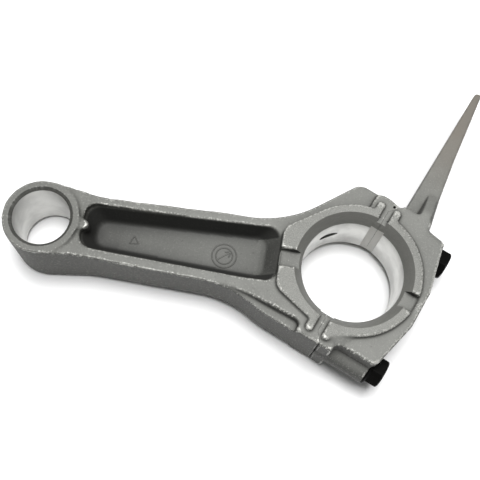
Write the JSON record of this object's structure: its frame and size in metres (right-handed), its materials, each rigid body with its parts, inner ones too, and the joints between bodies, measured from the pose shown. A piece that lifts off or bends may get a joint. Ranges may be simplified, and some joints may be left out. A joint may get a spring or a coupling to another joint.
{
  "type": "connecting rod",
  "caption": "Small-engine connecting rod with a slanted split big end, bolted bearing cap and an oil dipper finger.",
  "frame": {"origin": "centre of the big-end bore, on its axis, half-way between the two thrust faces", "axes": "+Z along both bore axes towards the face shown, +X from the small end towards the big end, +Y towards the side the oil dipper points to"},
  "size_m": [0.1673, 0.1219, 0.0276],
  "materials": {
    "cast_alloy": "as-cast, with machined bores and faces",
    "black_steel": "black oxide"
  },
  "bodies": {
    "rod": {"connecting_rod": "cast_alloy"},
    "cap": {"bearing_cap": "cast_alloy"},
    "dipper_bolt": {"bolt_dipper_side": "black_steel"},
    "plain_bolt": {"bolt_plain_side": "black_steel"}
  },
  "joints": [
    {"name": "cap_slide", "type": "slide", "parent": "rod", "child": "cap", "axis": [0.9239, -0.3827, 0], "range_m": [0, 0.035]},
    {"name": "dipper_bolt_slide", "type": "slide", "parent": "cap", "child": "dipper_bolt", "axis": [0.9239, -0.3827, 0], "range_m": [0, 0.04]},
    {"name": "plain_bolt_slide", "type": "slide", "parent": "cap", "child": "plain_bolt", "axis": [0.9239, -0.3827, 0], "range_m": [0, 0.04]}
  ]
}
